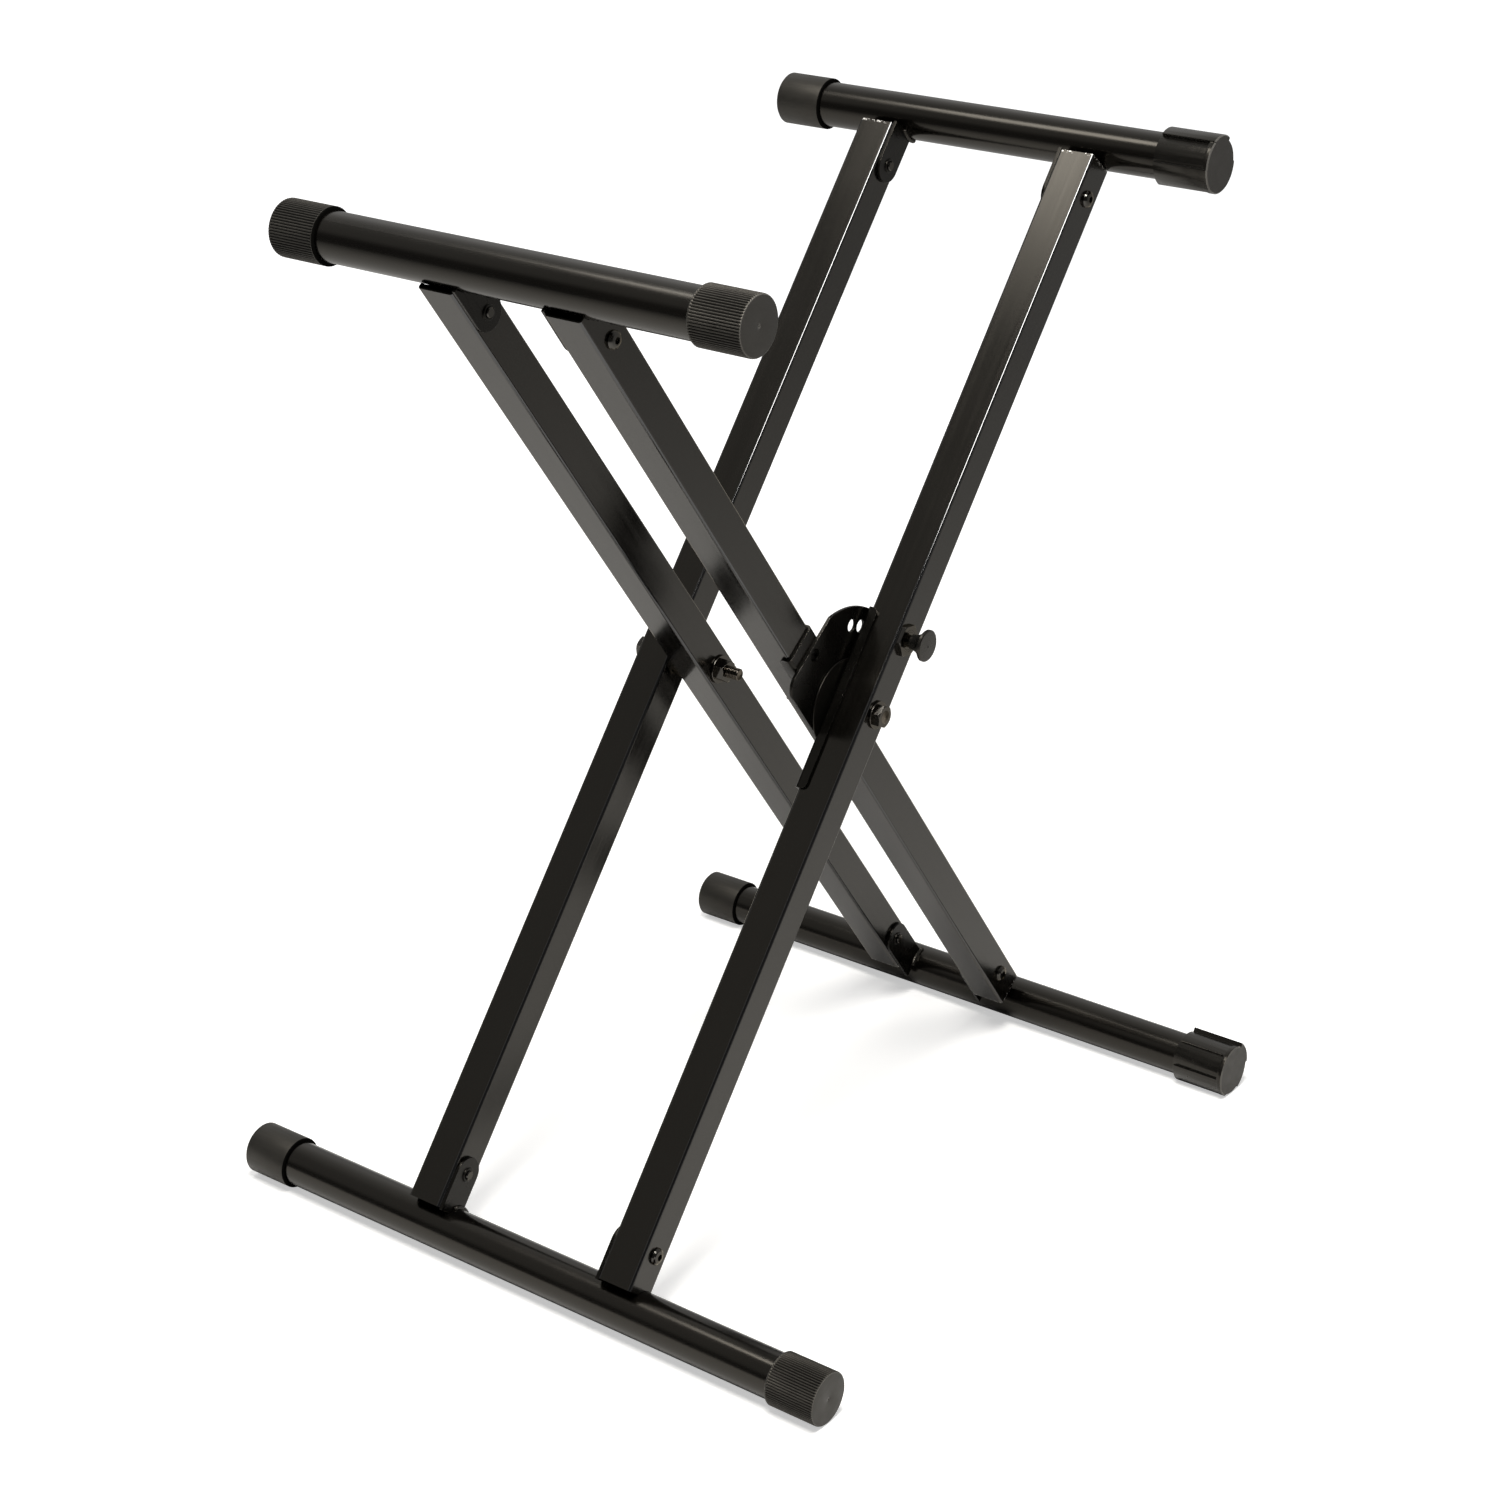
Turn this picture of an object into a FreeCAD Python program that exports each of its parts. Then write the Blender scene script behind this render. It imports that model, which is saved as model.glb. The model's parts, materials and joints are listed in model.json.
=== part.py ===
import FreeCAD, Part
import math
import os

# Folding X-frame keyboard stand, millimetres.
# +X runs along the crossbars to the right, +Y to the rear, +Z up.
# The origin is on the floor, below the centre of the box around the whole stand.
#
# Each of the two frames is drawn upright in its own plane first. There X is the
# same, Z runs up along the arms from the pivot, and Y points to the frame's back.
# lean_frame() then tips it about the pivot and puts it in the shared frame.

V = FreeCAD.Vector
ALONG_X = V(1, 0, 0)

# ---------------------------------------------------------------- crossbars
BAR_RADIUS = 19.0
BAR_WALL = 1.4
TOP_HALF_LENGTH = 212.7          # centre to the outside of a cap
BOTTOM_HALF_LENGTH = 294.0

# ---------------------------------------------------------------- caps
CAP_RADIUS = 21.9
CAP_LENGTH = 44.0
CAP_END = 3.0                    # thickness of the closed end
CAP_FIT = 0.05                   # radial gap between a cap and its bar
CAP_END_GAP = 0.3                # bar end to the inside of the cap end
CAP_RIM = 1.5
DIMPLE_RADIUS = 2.6
DIMPLE_DEPTH = 1.2

# The levelling caps are cams with six 60 degree steps, counted from the rear
# (+Y of the frame's own plane) over the top. Turning one changes the height.
STEP_ANGLE = 60.0
LEVELLING_LENGTH = 50.0
LEVELLING_FLANGE = 5.0
LEVELLING_FLANGE_RADIUS = 23.4
LEVELLING_RIM = 1.1
STEP_LEAD = 1.5                  # sleeve in front of the steps
REAR_TOP_STEPS = [21.9, 24.4, 21.1, 23.8, 22.8, 23.4]
REAR_BOTTOM_STEPS = [26.8, 22.6, 21.1, 23.2, 21.9, 24.4]

# ---------------------------------------------------------------- arms
ARM_SIZE = 32.0                  # square tube
ARM_WALL = 1.4
ARM_CORNER = 2.2
INNER_ARM_X = 58.0               # centre of an inner arm
ARM_GAP = 8.5                    # between an inner and an outer arm
OUTER_ARM_X = INNER_ARM_X + ARM_SIZE + ARM_GAP
ARM_REACH = 493.5                # pivot to the square-cut end of an arm
INNER_TOP_EXTRA = 4.0            # the inner arms' top ends run on this much further
COPE_GAP = 0.3                   # bar to the hollow cut for it in the arm end

# ---------------------------------------------------------------- frames
INNER_TOP_PAST = 10.1            # crossbar's centre past the arms' reach
INNER_BOTTOM_PAST = 33.7
OUTER_TOP_PAST = 19.7
OUTER_BOTTOM_PAST = 14.2
INNER_SET_BACK = 7.34            # crossbar behind the arm's centre line
OUTER_SET_BACK = 10.46
OPENING = 76.12                  # degrees between the arms at this setting

# ---------------------------------------------------------------- crossbar ears
EAR_THICKNESS = 3.0
EAR_HALF_WIDTH = 14.5
EAR_BOLT_INSET = 32.5            # ear bolt in from the arm's reach
EAR_COLLAR_RADIUS = 6.0
EAR_COLLAR_HEIGHT = 1.2
INNER_TOP_EAR_SHORT = 3.6        # ear's end short of the crossbar's centre
INNER_BOTTOM_EAR_SHORT = 15.2
OUTER_TOP_EAR_SHORT = 17.2
OUTER_BOTTOM_EAR_SHORT = 12.7
BEAD_RADIUS = 2.2
BEAD_SINK = 0.6
BEAD_HALF_ANGLE = 36.0

EAR_BOLT_RADIUS = 4.0
EAR_BOLT_CLEARANCE = 0.2
EAR_HEAD_RADIUS = 7.0
EAR_HEAD_HEIGHT = 4.0
EAR_SOCKET_FLATS = 5.0
EAR_SOCKET_DEPTH = 2.4
EAR_BOLT_END = 1.6               # thread standing out of the ear

# ---------------------------------------------------------------- pivot
PIVOT_RADIUS = 5.0
PIVOT_RUNNING = 0.08             # radial clearance in the pieces that turn
PIVOT_FIXED = 0.3                # radial clearance in the pieces that do not
FACE_RUNNING = 0.1               # axial clearance between turning faces
PIVOT_FLATS = 17.0
PIVOT_HEAD = 6.4
PIVOT_NUT = 8.0
WASHER_THICKNESS = 2.0
HEAD_WASHER_RADIUS = 11.6
INNER_WASHER_RADIUS = 12.0
RIGHT_BOLT_TAIL = 3.6            # thread past the nut
LEFT_BOLT_TAIL = 11.2
HEX_CHAMFER = 0.9
SPACER_RADIUS = 15.0
SPACER_WASHER = 1.6

# ---------------------------------------------------------------- lock side
INNER_WEB = 2.0
INNER_FLANGE_REACH = 11.3        # flange edge in from the web's outer face
INNER_SADDLE_TOP = 85.0
INNER_SADDLE_BOTTOM = -32.0
OUTER_WEB = 2.4
OUTER_FLANGE_REACH = 9.8
OUTER_SADDLE_TOP = 80.0
OUTER_SADDLE_BOTTOM = -78.0
SADDLE_EDGE = 3.0
SADDLE_CORNER = 5.0

PLATE_THICKNESS = 2.5
PLATE_TOP = 72.0
PLATE_CORNER = 36.0              # where the straight top meets the big arc
PLATE_SIDE = 35.5                # front edge, and the radius round the pivot
PLATE_FILLET = 14.0
PLATE_ARC_END = 112.0            # degrees from the arm, to the rear
PLATE_FRONT = 270.0              # direction of the front edge, degrees from the arm
LOCK_RADIUS = 64.63              # pivot to the lock pin
LOCK_FORWARD = 2.0               # pin in front of the outer arm's centre line
LOCK_HOLE_RADIUS = 5.4
LOCK_SPACING = 11.75             # degrees between settings
SETTINGS_CLOSER = 2
SETTINGS_WIDER = 2
STORED_OPENING = 5.6             # degrees between the arms when folded flat
DISC_RADIUS = 38.0

# ---------------------------------------------------------------- plunger
PIN_RADIUS = 5.0
PIN_RUNNING = 0.1
PIN_TIP_GAP = 0.3                # pin tip to the lock plate, as drawn
COLLAR_RADIUS = 7.0
COLLAR_INSET = 7.15              # pin tip to its collar
COLLAR_LENGTH = 2.0
BARREL_RADIUS = 9.0
BARREL_FIT = 0.1
CHAMBER_RADIUS = 7.2
CHAMBER_FLOOR = 2.9
GLAND_LENGTH = 5.0
PLUNGER_NUT = 3.5
PLUNGER_NUT_FLATS = 24.0
SPRING_WIRE = 0.65
SPRING_RADIUS = 6.15
SPRING_TURNS = 6
SPRING_STEPS = 16                # facets in one turn
SPRING_SIDES = 8
KNOB_RADIUS = 13.1
KNOB_NECK_RADIUS = 6.2
KNOB_STAND = 3.3                 # barrel end to the knob's small end
KNOB_LENGTH = 15.0
KNOB_RIM = 2.4
KNOB_BORE_DEPTH = 12.0

# ---------------------------------------------------------------- derived places
INNER_TOP_REACH = ARM_REACH + INNER_TOP_EXTRA
EAR_BOLT_OFFSET = ARM_REACH - EAR_BOLT_INSET
INNER_TOP = ARM_REACH + INNER_TOP_PAST
INNER_BOTTOM = -(ARM_REACH + INNER_BOTTOM_PAST)
OUTER_TOP = ARM_REACH + OUTER_TOP_PAST
OUTER_BOTTOM = -(ARM_REACH + OUTER_BOTTOM_PAST)
INNER_ARM_FACE = INNER_ARM_X + ARM_SIZE / 2
OUTER_ARM_INSIDE = OUTER_ARM_X - ARM_SIZE / 2
OUTER_ARM_FACE = OUTER_ARM_X + ARM_SIZE / 2
PLATE_INSIDE = INNER_ARM_FACE + INNER_WEB
PLATE_FACE = PLATE_INSIDE + PLATE_THICKNESS
DISC_INSIDE = PLATE_FACE + FACE_RUNNING
SADDLE_INSIDE = OUTER_ARM_INSIDE - OUTER_WEB
BARREL_END = OUTER_ARM_FACE + PLUNGER_NUT
PIN_TIP = PLATE_FACE + PIN_TIP_GAP
COLLAR_START = PIN_TIP + COLLAR_INSET
COLLAR_END = COLLAR_START + COLLAR_LENGTH
CHAMBER_END = BARREL_END - GLAND_LENGTH
KNOB_START = BARREL_END + KNOB_STAND

# The inner frame's lean that puts both bottom crossbars at one height.
opening = math.radians(OPENING)
lean_rise = INNER_BOTTOM - OUTER_BOTTOM * math.cos(opening) + OUTER_SET_BACK * math.sin(opening)
lean_run = -INNER_SET_BACK + OUTER_BOTTOM * math.sin(opening) + OUTER_SET_BACK * math.cos(opening)
INNER_LEAN = math.degrees(math.atan(lean_rise / lean_run))
OUTER_LEAN = INNER_LEAN - OPENING


def leaned(y, z, lean):
    """Where a point of a frame's own plane comes to when the frame leans."""
    turn = math.radians(lean)
    return (y * math.cos(turn) - z * math.sin(turn), y * math.sin(turn) + z * math.cos(turn))


front_reach = leaned(INNER_SET_BACK, INNER_TOP, INNER_LEAN)[0] - CAP_RADIUS
rear_reach = leaned(INNER_SET_BACK, INNER_BOTTOM, INNER_LEAN)[0] + max(REAR_BOTTOM_STEPS)
PIVOT_Y = -(front_reach + rear_reach) / 2
PIVOT_Z = CAP_RADIUS - leaned(INNER_SET_BACK, INNER_BOTTOM, INNER_LEAN)[1]


# ---------------------------------------------------------------- helpers
def rod(radius, x0, x1, y=0.0, z=0.0):
    """Round bar along X."""
    return Part.makeCylinder(radius, x1 - x0, V(x0, y, z), ALONG_X)


def ring(outer, inner, x0, x1, y=0.0, z=0.0):
    """Round tube or washer along X."""
    return rod(outer, x0, x1, y, z).cut(rod(inner, x0 - 1, x1 + 1, y, z))


def hexagon(flats, x0, x1, turn=0.0, y=0.0, z=0.0):
    """Six-sided bar along X; turn is the angle of its first corner from +Y."""
    corner = flats / math.sqrt(3)
    angles = [math.radians(turn + 60 * k) for k in range(7)]
    points = [V(x0, y + corner * math.cos(a), z + corner * math.sin(a)) for a in angles]
    return Part.Face(Part.makePolygon(points)).extrude(V(x1 - x0, 0, 0))


def turned(profile, y=0.0, z=0.0, start=0.0, angle=360.0):
    """Closed outline of (x, radius) points turned about X."""
    points = [V(x, radius, 0) for x, radius in profile]
    face = Part.Face(Part.makePolygon(points + [points[0]]))
    solid = face.revolve(V(0, 0, 0), ALONG_X, angle)
    solid.rotate(V(0, 0, 0), ALONG_X, start)
    solid.translate(V(0, y, z))
    return solid


def chamfered_hexagon(flats, x0, x1, turn=0.0, y=0.0, z=0.0, chamfer_low=False):
    """Bolt head or nut: a hexagon with its corners taken off at the high-X end."""
    corner = flats / math.sqrt(3) + 0.05
    low = HEX_CHAMFER if chamfer_low else 0.0
    high = 0.0 if chamfer_low else HEX_CHAMFER
    limit = turned([
        (x0, 0.0),
        (x0, corner - 1.8 * low),
        (x0 + low, corner),
        (x1 - high, corner),
        (x1, corner - 1.8 * high),
        (x1, 0.0),
    ], y, z)
    return hexagon(flats, x0, x1, turn, y, z).common(limit)


def mirrored(shape):
    """The same shape on the other side, left for right."""
    return shape.mirror(V(0, 0, 0), ALONG_X)


def both_sides(shape):
    """A shape and its left-right mirror image, as separate solids."""
    return Part.makeCompound([shape, mirrored(shape)])


def lean_frame(shape, lean):
    """From a frame's own plane to the shared frame."""
    placed = shape.copy()
    placed.rotate(V(0, 0, 0), ALONG_X, lean)
    placed.translate(V(0, PIVOT_Y, PIVOT_Z))
    return placed


def save(node, shape, lean):
    """Check a piece, place it and write it out."""
    placed = lean_frame(shape, lean)
    if not placed.isValid():
        raise RuntimeError(node + " is not a valid shape")
    placed.exportStep("parts/" + node + ".step")


# ---------------------------------------------------------------- crossbars and caps
def crossbar(half_length, set_back, height):
    end = half_length - CAP_END - CAP_END_GAP
    return ring(BAR_RADIUS, BAR_RADIUS - BAR_WALL, -end, end, set_back, height)


def plain_cap(half_length, set_back, height):
    """Rubber sleeve with a closed, chamfered end and a small centre dimple."""
    start = half_length - CAP_LENGTH
    floor = half_length - CAP_END
    bore = BAR_RADIUS + CAP_FIT
    return turned([
        (start, bore),
        (start, CAP_RADIUS - 0.8),
        (start + 0.8, CAP_RADIUS),
        (half_length - CAP_RIM, CAP_RADIUS),
        (half_length, CAP_RADIUS - CAP_RIM),
        (half_length, DIMPLE_RADIUS),
        (half_length - DIMPLE_DEPTH, 0.0),
        (floor, 0.0),
        (floor, bore),
    ], set_back, height)


def levelling_cap(half_length, set_back, height, steps):
    """Sleeve whose outside is a cam of six steps, with a wider end flange."""
    start = half_length - LEVELLING_LENGTH
    lead_end = start + STEP_LEAD
    flange = half_length - LEVELLING_FLANGE
    lead_radius = min(steps)
    cap = None
    for count, radius in enumerate(steps):
        flange_radius = max(radius, LEVELLING_FLANGE_RADIUS)
        if radius == CAP_RADIUS:
            flange_radius = CAP_RADIUS
        sector = turned([
            (start, 0.0),
            (start, lead_radius),
            (lead_end, lead_radius),
            (lead_end, radius),
            (flange, radius),
            (flange, flange_radius),
            (half_length - LEVELLING_RIM, flange_radius),
            (half_length, flange_radius - LEVELLING_RIM),
            (half_length, 0.0),
        ], start=count * STEP_ANGLE, angle=STEP_ANGLE)
        cap = sector if cap is None else cap.fuse(sector)
    cap = cap.removeSplitter()
    cap = cap.cut(rod(BAR_RADIUS + CAP_FIT, start - 1, half_length - CAP_END))
    cap.translate(V(0, set_back, height))
    return cap


# ---------------------------------------------------------------- arms
def arm_tube(x, low, high):
    """Square tube along Z with rounded outside and inside corners."""
    walls = []
    for inset in (0.0, ARM_WALL):
        half = ARM_SIZE / 2 - inset
        block = Part.makeBox(2 * half, 2 * half, high - low, V(x - half, -half, low))
        edges = [e for e in block.Edges if abs(e.tangentAt(e.FirstParameter).z) > 0.9]
        walls.append(block.makeFillet(ARM_CORNER - inset, edges))
    return walls[0].cut(walls[1])


def bolt_holes(shape, x, radius, heights):
    """Cross holes along X through one arm, at these heights."""
    for z in heights:
        shape = shape.cut(rod(radius, x - ARM_SIZE, x + ARM_SIZE, 0, z))
    return shape


def inner_arm(side):
    x = side * INNER_ARM_X
    arm = arm_tube(x, -ARM_REACH, INNER_TOP_REACH)
    arm = bolt_holes(arm, x, EAR_BOLT_RADIUS + EAR_BOLT_CLEARANCE, (EAR_BOLT_OFFSET, -EAR_BOLT_OFFSET))
    arm = bolt_holes(arm, x, PIVOT_RADIUS + PIVOT_RUNNING, (0.0,))
    cope = rod(BAR_RADIUS + COPE_GAP, x - ARM_SIZE, x + ARM_SIZE, INNER_SET_BACK, INNER_TOP)
    return arm.cut(cope)


def outer_arm(side):
    x = side * OUTER_ARM_X
    arm = arm_tube(x, -ARM_REACH, ARM_REACH)
    arm = bolt_holes(arm, x, EAR_BOLT_RADIUS + EAR_BOLT_CLEARANCE, (EAR_BOLT_OFFSET, -EAR_BOLT_OFFSET))
    arm = bolt_holes(arm, x, PIVOT_RADIUS + PIVOT_FIXED, (0.0,))
    for height in (OUTER_TOP, OUTER_BOTTOM):
        cope = rod(BAR_RADIUS + COPE_GAP, x - ARM_SIZE, x + ARM_SIZE, OUTER_SET_BACK, height)
        arm = arm.cut(cope)
    if side > 0:
        arm = arm.cut(rod(BARREL_RADIUS + BARREL_FIT, x - ARM_SIZE, x + ARM_SIZE, *lock_place()))
    return arm


# ---------------------------------------------------------------- crossbar ears
def ear(arm_x, set_back, height, reach):
    """Plate welded to the crossbar and bolted to the inside of the right arm."""
    x1 = arm_x - ARM_SIZE / 2
    x0 = x1 - EAR_THICKNESS
    side = 1 if height > 0 else -1
    bolt_z = side * EAR_BOLT_OFFSET
    low = min(bolt_z, bolt_z + side * reach)
    plate = Part.makeBox(EAR_THICKNESS, 2 * EAR_HALF_WIDTH, reach, V(x0, -EAR_HALF_WIDTH, low))
    plate = plate.fuse(rod(EAR_HALF_WIDTH, x0, x1, 0, bolt_z))
    plate = plate.fuse(rod(EAR_COLLAR_RADIUS, x0 - EAR_COLLAR_HEIGHT, x1, 0, bolt_z))
    plate = plate.removeSplitter()
    plate = plate.cut(rod(EAR_BOLT_RADIUS, x0 - 5, x1 + 5, 0, bolt_z))
    return plate.cut(rod(BAR_RADIUS, x0 - 5, x1 + 5, set_back, height))


def weld_bead(arm_x, set_back, height, plate):
    """Bead in the corner between the crossbar and the free face of an ear."""
    x = arm_x - ARM_SIZE / 2 - EAR_THICKNESS
    major = BAR_RADIUS + BEAD_SINK
    towards_pivot = -90.0 if height > 0 else 90.0
    first = math.radians(towards_pivot - BEAD_HALF_ANGLE)
    start = V(x, set_back + major * math.cos(first), height + major * math.sin(first))
    tangent = V(0, -math.sin(first), math.cos(first))
    circle = Part.Wire(Part.Circle(start, tangent, BEAD_RADIUS).toShape())
    axis = V(0, set_back, height)
    bead = Part.Face(circle).revolve(axis, ALONG_X, 2 * BEAD_HALF_ANGLE)
    bead = bead.cut(rod(BAR_RADIUS, x - 9, x + 9, set_back, height))
    keep = Part.makeBox(9, 90, 90, V(x - 9, set_back - 45, height - 45))
    return bead.cut(plate).common(keep)


def joint_set(name, arm_x, set_back, height, short, lean):
    """The two ears of one crossbar, and their weld beads."""
    reach = abs(height) - EAR_BOLT_OFFSET - short
    plate = ear(arm_x, set_back, height, reach)
    bead = weld_bead(arm_x, set_back, height, plate)
    save(name + "_ears", both_sides(plate), lean)
    save(name + "_welds", both_sides(bead), lean)


def ear_bolt(arm_x, z):
    """Button-head bolt through the right arm into the ear's threaded collar."""
    face = arm_x + ARM_SIZE / 2
    tail = arm_x - ARM_SIZE / 2 - EAR_THICKNESS - EAR_COLLAR_HEIGHT - EAR_BOLT_END
    bolt = turned([
        (tail, 0.0),
        (tail, EAR_BOLT_RADIUS - 0.7),
        (tail + 0.7, EAR_BOLT_RADIUS),
        (face, EAR_BOLT_RADIUS),
        (face, EAR_HEAD_RADIUS),
        (face + 0.30 * EAR_HEAD_HEIGHT, EAR_HEAD_RADIUS),
        (face + 0.66 * EAR_HEAD_HEIGHT, 0.90 * EAR_HEAD_RADIUS),
        (face + 0.88 * EAR_HEAD_HEIGHT, 0.72 * EAR_HEAD_RADIUS),
        (face + EAR_HEAD_HEIGHT, 0.48 * EAR_HEAD_RADIUS),
        (face + EAR_HEAD_HEIGHT, 0.0),
    ], 0, z)
    top = face + EAR_HEAD_HEIGHT
    return bolt.cut(hexagon(EAR_SOCKET_FLATS, top - EAR_SOCKET_DEPTH, top + 1, 0, 0, z))


def ear_bolts(arm_x):
    bolts = []
    for z in (EAR_BOLT_OFFSET, -EAR_BOLT_OFFSET):
        bolt = ear_bolt(arm_x, z)
        bolts += [bolt, mirrored(bolt)]
    return Part.makeCompound(bolts)


# ---------------------------------------------------------------- pivot
def pivot_bolt(tail_length):
    """Hexagon-head bolt of the right pivot, through both arms."""
    head = OUTER_ARM_FACE + WASHER_THICKNESS
    inner_end = INNER_ARM_X - ARM_SIZE / 2 - FACE_RUNNING - WASHER_THICKNESS - PIVOT_NUT - tail_length
    shank = turned([
        (inner_end, 0.0),
        (inner_end, PIVOT_RADIUS - 0.9),
        (inner_end + 0.9, PIVOT_RADIUS),
        (head, PIVOT_RADIUS),
        (head, 0.0),
    ])
    return shank.fuse(chamfered_hexagon(PIVOT_FLATS, head, head + PIVOT_HEAD, 12)).removeSplitter()


def head_washer():
    bore = PIVOT_RADIUS + PIVOT_FIXED
    return ring(HEAD_WASHER_RADIUS, bore, OUTER_ARM_FACE, OUTER_ARM_FACE + WASHER_THICKNESS)


def inner_washer():
    outside = INNER_ARM_X - ARM_SIZE / 2 - FACE_RUNNING
    bore = PIVOT_RADIUS + PIVOT_FIXED
    return ring(INNER_WASHER_RADIUS, bore, outside - WASHER_THICKNESS, outside)


def pivot_nut():
    outside = INNER_ARM_X - ARM_SIZE / 2 - FACE_RUNNING - WASHER_THICKNESS
    nut = chamfered_hexagon(PIVOT_FLATS, outside - PIVOT_NUT, outside, 5, chamfer_low=True)
    return nut.cut(rod(PIVOT_RADIUS, outside - PIVOT_NUT - 1, outside + 1))


def left_spacers():
    """Two steel washers with a wear ring between them, in the left arm gap."""
    bore = PIVOT_RADIUS + PIVOT_FIXED
    edges = [
        INNER_ARM_FACE + FACE_RUNNING,
        INNER_ARM_FACE + FACE_RUNNING + SPACER_WASHER,
        OUTER_ARM_INSIDE - SPACER_WASHER,
        OUTER_ARM_INSIDE,
    ]
    radii = [SPACER_RADIUS, SPACER_RADIUS - 2.5, SPACER_RADIUS]
    rings = [ring(radii[k], bore, edges[k], edges[k + 1]) for k in range(3)]
    return mirrored(Part.makeCompound(rings))


# ---------------------------------------------------------------- lock side
def lock_place():
    """The pin's place in the outer frame's own plane, as (y, z)."""
    return (-LOCK_FORWARD, math.sqrt(LOCK_RADIUS ** 2 - LOCK_FORWARD ** 2))


def saddle(web_x, arm_side_x, flange_x, thickness, low, high):
    """U-shaped bracket: a web against the arm's side and two flanges round it."""
    x0 = min(web_x, flange_x)
    x1 = max(web_x, flange_x)
    half = ARM_SIZE / 2 + thickness
    block = Part.makeBox(x1 - x0, 2 * half, high - low, V(x0, -half, low))
    long_edges = [
        e for e in block.Edges
        if abs(e.tangentAt(e.FirstParameter).z) > 0.9 and abs(e.CenterOfMass.x - web_x) < 0.01
    ]
    block = block.makeFillet(SADDLE_EDGE, long_edges)
    hollow_x0 = min(arm_side_x, flange_x) - (5 if flange_x < arm_side_x else 0)
    hollow_x1 = max(arm_side_x, flange_x) + (5 if flange_x > arm_side_x else 0)
    hollow = Part.makeBox(
        hollow_x1 - hollow_x0, ARM_SIZE, high - low + 2, V(hollow_x0, -ARM_SIZE / 2, low - 1)
    )
    shape = block.cut(hollow)
    corners = [
        e for e in shape.Edges
        if abs(e.Length - thickness) < 0.01 and abs(e.tangentAt(e.FirstParameter).y) > 0.9
        and abs(e.CenterOfMass.x - flange_x) < 0.01
    ]
    return shape.makeFillet(SADDLE_CORNER, corners)


def inner_saddle():
    shape = saddle(
        PLATE_INSIDE, INNER_ARM_FACE, PLATE_INSIDE - INNER_FLANGE_REACH,
        INNER_WEB, INNER_SADDLE_BOTTOM, INNER_SADDLE_TOP,
    )
    return shape.cut(rod(PIVOT_RADIUS + PIVOT_RUNNING, INNER_ARM_FACE - 1, PLATE_INSIDE + 1))


def outer_saddle():
    shape = saddle(
        SADDLE_INSIDE, OUTER_ARM_INSIDE, SADDLE_INSIDE + OUTER_FLANGE_REACH,
        OUTER_WEB, OUTER_SADDLE_BOTTOM, OUTER_SADDLE_TOP,
    )
    shape = shape.cut(rod(PIVOT_RADIUS + PIVOT_FIXED, SADDLE_INSIDE - 1, OUTER_ARM_INSIDE + 1))
    barrel_hole = rod(BARREL_RADIUS + BARREL_FIT, SADDLE_INSIDE - 1, OUTER_ARM_INSIDE + 1, *lock_place())
    return shape.cut(barrel_hole)


def from_arm(radius, degrees):
    """Point of the lock plate at an angle from the arm towards the rear."""
    turn = math.radians(degrees)
    return V(PLATE_INSIDE, radius * math.sin(turn), radius * math.cos(turn))


def lock_plate():
    """Bell-shaped plate round the pivot with one lock hole for each setting."""
    arc_radius = math.hypot(PLATE_TOP, PLATE_CORNER)
    arc_start = math.degrees(math.atan2(PLATE_CORNER, PLATE_TOP))
    tangent_at = PLATE_ARC_END + math.degrees(math.acos(PLATE_SIDE / arc_radius))
    underside = (tangent_at + PLATE_FRONT) / 2
    corner = V(PLATE_INSIDE, PLATE_CORNER, PLATE_TOP)
    side_top = V(PLATE_INSIDE, -PLATE_SIDE, PLATE_TOP - PLATE_FILLET)
    top_front = V(PLATE_INSIDE, -PLATE_SIDE + PLATE_FILLET, PLATE_TOP)
    bend = PLATE_FILLET * math.sqrt(0.5)
    fillet_middle = V(PLATE_INSIDE, -PLATE_SIDE + PLATE_FILLET - bend, PLATE_TOP - PLATE_FILLET + bend)
    side_bottom = V(PLATE_INSIDE, -PLATE_SIDE, 0)
    arc_end = from_arm(arc_radius, PLATE_ARC_END)
    edges = [
        Part.LineSegment(top_front, corner),
        Part.Arc(corner, from_arm(arc_radius, (arc_start + PLATE_ARC_END) / 2), arc_end),
        Part.LineSegment(arc_end, from_arm(PLATE_SIDE, tangent_at)),
        Part.Arc(from_arm(PLATE_SIDE, tangent_at), from_arm(PLATE_SIDE, underside), side_bottom),
        Part.LineSegment(side_bottom, side_top),
        Part.Arc(side_top, fillet_middle, top_front),
    ]
    outline = Part.Wire([edge.toShape() for edge in edges])
    plate = Part.Face(outline).extrude(V(PLATE_THICKNESS, 0, 0))
    plate = plate.cut(rod(PIVOT_RADIUS + PIVOT_RUNNING, PLATE_INSIDE - 1, PLATE_FACE + 1))
    settings = [OPENING + LOCK_SPACING * k for k in range(-SETTINGS_CLOSER, SETTINGS_WIDER + 1)]
    pin_lead = math.degrees(math.asin(LOCK_FORWARD / LOCK_RADIUS))
    for setting in settings + [STORED_OPENING]:
        centre = from_arm(LOCK_RADIUS, setting - pin_lead)
        plate = plate.cut(rod(LOCK_HOLE_RADIUS, PLATE_INSIDE - 1, PLATE_FACE + 1, centre.y, centre.z))
    return plate


def friction_disc():
    return ring(DISC_RADIUS, PIVOT_RADIUS + PIVOT_FIXED, DISC_INSIDE, SADDLE_INSIDE)


# ---------------------------------------------------------------- plunger
def plunger_barrel():
    y, z = lock_place()
    barrel = ring(BARREL_RADIUS, PIN_RADIUS + PIN_RUNNING, SADDLE_INSIDE, BARREL_END, y, z)
    return barrel.cut(rod(CHAMBER_RADIUS, SADDLE_INSIDE + CHAMBER_FLOOR, BARREL_END + 1, y, z))


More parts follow.
